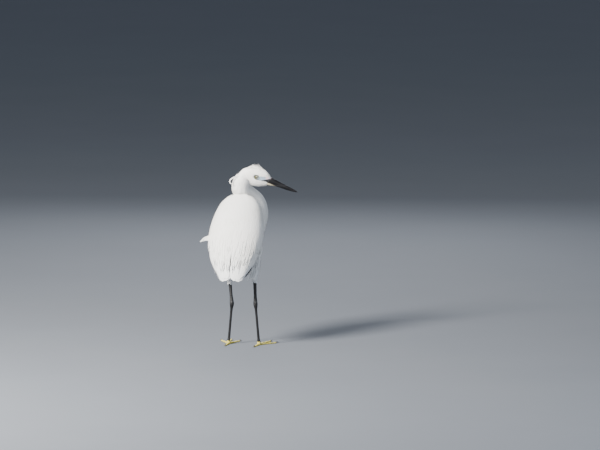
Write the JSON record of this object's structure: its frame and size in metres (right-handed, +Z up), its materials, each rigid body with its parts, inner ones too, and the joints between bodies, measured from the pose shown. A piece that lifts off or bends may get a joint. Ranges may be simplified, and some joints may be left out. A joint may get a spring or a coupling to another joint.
{
  "type": "little egret",
  "caption": "Life-size still model of a standing little egret, seen at rest with folded wings, S-bent neck and head turned to its right.",
  "frame": {"origin": "middle of the base of the bounding box, on the floor that the soles rest on", "axes": "the body faces -Y, +X is the bird's left side, +Z is up; the head is turned so that the bill points to -X"},
  "size_m": [0.2398, 0.2266, 0.4614],
  "materials": {
    "plumage": "soft matte white feathers, slightly warm where the sun lights them",
    "bill": "satin black horn",
    "eye": "wet gloss, pale yellow iris round a black pupil",
    "leg": "satin black scaled skin",
    "foot": "satin dull yellow scaled skin",
    "claw": "satin dark horn"
  },
  "bodies": {
    "root": {"torso": "plumage", "mantle": "plumage", "wing_left": "plumage", "wing_right": "plumage", "neck_upper": "plumage", "neck_middle": "plumage", "neck_lower": "plumage", "tail": "plumage", "head": "plumage", "eye_left": "eye", "eye_right": "eye", "bill_upper": "bill", "bill_lower": "bill", "thigh_left": "plumage", "tibia_left": "leg", "tarsus_left": "leg", "foot_left": "foot", "thigh_right": "plumage", "tibia_right": "leg", "tarsus_right": "leg", "foot_right": "foot", "claw_left_inner": "claw", "claw_left_middle": "claw", "claw_left_outer": "claw", "claw_left_hind": "claw", "claw_right_inner": "claw", "claw_right_middle": "claw", "claw_right_outer": "claw", "claw_right_hind": "claw"}
  },
  "joints": []
}
